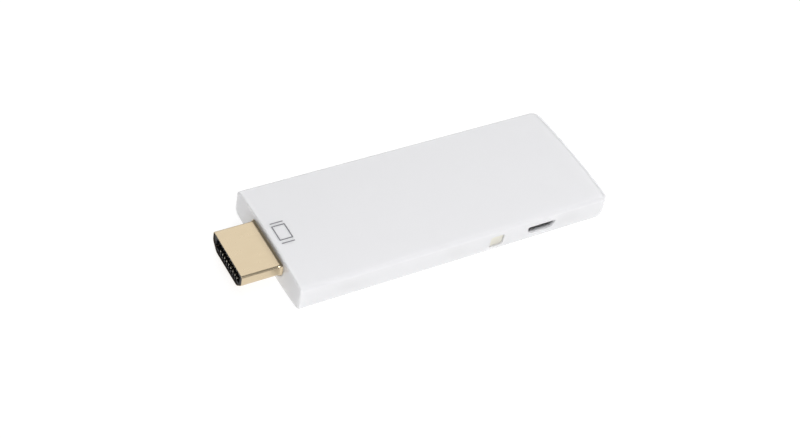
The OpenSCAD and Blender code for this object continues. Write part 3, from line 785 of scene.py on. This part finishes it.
nodeFinish = dict(
    mode_button=creamNylon, plug_insulator=blackResin, plug_contacts_upper=flashPlate,
    plug_contacts_lower=flashPlate, main_board=greenMask, processor=chipEpoxy, thermal_pad=padSilicone,
    heat_spreader=rolledAlloy, memory_chips=chipEpoxy, flash_chip=chipEpoxy, power_chip=chipEpoxy,
    inductors=ferriteGrey, bulk_capacitors=ceramicTan, capacitors=ceramicTan, resistors=glazeBlack,
    crystals=tinPlate, radio_board=blueMask, radio_shield=tinPlate, antenna=flashPlate,
    socket_shell=tinPlate, socket_tongue=blackResin, socket_contacts=flashPlate,
    switch_housing=blackResin, switch_cover=tinPlate, switch_plunger=plungerNylon,
    status_light=lampResin, top_cover=glossWhite, bottom_cover=glossWhite, plug_shell=paleGold,
)
for nodeName, material in nodeFinish.items():
    dress(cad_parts[nodeName], material)
for piece, material in (
    (topShell, glossWhite), (basePlate, glossWhite), (plugShell, paleGold), (plugCore, blackResin),
    (upperContacts, flashPlate), (lowerContacts, flashPlate), (buttonCap, creamNylon),
    (socketShell, tinPlate), (portSign, signInk),
):
    dress(piece, material)


def paintShadeInside(piece, material, isInside):
    # faces that pass the test get a second, darker material, used as painted shade inside openings
    piece.data.materials.append(material)
    for face in piece.data.polygons:
        if isInside(face.center, face.normal):
            face.material_index = 1


# painted shade: the plug shell's inward-facing faces near the mouth get the dark material
paintShadeInside(plugShell, paintedMouthShade, lambda p, n: p.x < tipX + plug["paintedShadeDepth"]
           and n.y * p.y + n.z * (p.z - plug["middle"]) < -tiny * tiny)
# painted shade: the socket shell's inward-facing faces, all but the last millimetre at its back, get the
# dark material
paintShadeInside(socketShell, paintedSocketShade, lambda p, n: p.y < socketHigh.y - mm
           and n.x * (p.x - socketX) + n.z * (p.z - socket["middle"]) < -tiny * tiny)
print("finishes done")

studio = dict(
    floorSize=3.0, floorGap=0.02 * mm, floorTone=0.25, floorGlow=0.82, worldLevel=0.15,
    lens=69.68, sensor=36.0, cameraPlace=(-0.1472, -0.1889, 0.23624),
    cameraRight=(0.8648, -0.4792, 0.1497), cameraUp=(0.2520, 0.6723, 0.6961),
    cameraBack=(-0.4342, -0.5643, 0.7022),
    panels=(  # name, place, side length, power, and whether the object mirrors it
        ("keyPanel", (-0.12, -0.74, 0.67), 0.4, 5.2, True),
        ("backPanel", (0.52, 0.68, 0.85), 1.2, 4.6, True),
        ("topPanel", (0.25, 0.0, 1.2), 1.0, 5.6, False),
    ),
)


def makeFloor():
    clearAll()
    bpy.ops.mesh.primitive_plane_add(size=studio["floorSize"], location=(0, 0, -studio["floorGap"]))
    floor = bpy.context.object
    floor.name = "floor"
    tone = studio["floorTone"]
    paper = finish("floorPaper", (tone, tone, tone), (tone * 0.98,) * 3, (0.7, 0.8), patch=4, grain=300)
    shader = paper.node_tree.nodes["Principled BSDF"]
    shader.inputs["Emission Color"].default_value = (1, 1, 1, 1)
    shader.inputs["Emission Strength"].default_value = studio["floorGlow"]
    # seen from below, the paper lets the underside of the object show
    nodes, link = paper.node_tree.nodes, paper.node_tree.links.new
    clear, both = nodes.new("ShaderNodeBsdfTransparent"), nodes.new("ShaderNodeMixShader")
    side = nodes.new("ShaderNodeNewGeometry")
    link(side.outputs["Backfacing"], both.inputs[0])
    link(shader.outputs[0], both.inputs[1])
    link(clear.outputs[0], both.inputs[2])
    link(both.outputs[0], nodes["Material Output"].inputs["Surface"])
    paper.cycles.emission_sampling = "NONE"  # a lit floor this close is found well enough by chance
    dress(floor, paper)


def addPanel(name, place, size, power, mirrored):
    light = bpy.data.lights.new(name, "AREA")
    light.shape = "SQUARE"
    light.size = size
    light.energy = power
    lamp = bpy.data.objects.new(name, light)
    bpy.context.scene.collection.objects.link(lamp)
    lamp.location = place
    lamp.visible_camera = False
    lamp.visible_glossy = mirrored
    lamp.rotation_euler = (-Vector(place)).to_track_quat("-Z", "Y").to_euler()  # it faces the object


def makeStudio():
    makeFloor()
    world = bpy.data.worlds.new("studioAir")
    world.use_nodes = True
    nodes, link = world.node_tree.nodes, world.node_tree.links.new
    air = nodes["Background"]
    air.inputs["Color"].default_value = (1, 1, 1, 1)
    # the room looks white to the camera, but lights the object only softly
    path, level = nodes.new("ShaderNodeLightPath"), nodes.new("ShaderNodeMapRange")
    level.inputs["To Min"].default_value = studio["worldLevel"]
    level.inputs["To Max"].default_value = 1.0
    link(path.outputs["Is Camera Ray"], level.inputs["Value"])
    link(level.outputs[0], air.inputs["Strength"])
    bpy.context.scene.world = world
    for panel in studio["panels"]:
        addPanel(*panel)
    bpy.context.scene.view_settings.view_transform = "Standard"
    lens = bpy.data.cameras.new("camera")
    lens.lens, lens.sensor_width = studio["lens"], studio["sensor"]
    lens.clip_start = 0.01
    camera = bpy.data.objects.new("camera", lens)
    bpy.context.scene.collection.objects.link(camera)
    turn = Matrix([studio["cameraRight"], studio["cameraUp"], studio["cameraBack"]]).transposed()
    camera.matrix_world = Matrix.Translation(studio["cameraPlace"]) @ turn.to_4x4()
    bpy.context.scene.camera = camera


makeStudio()
print("studio done")
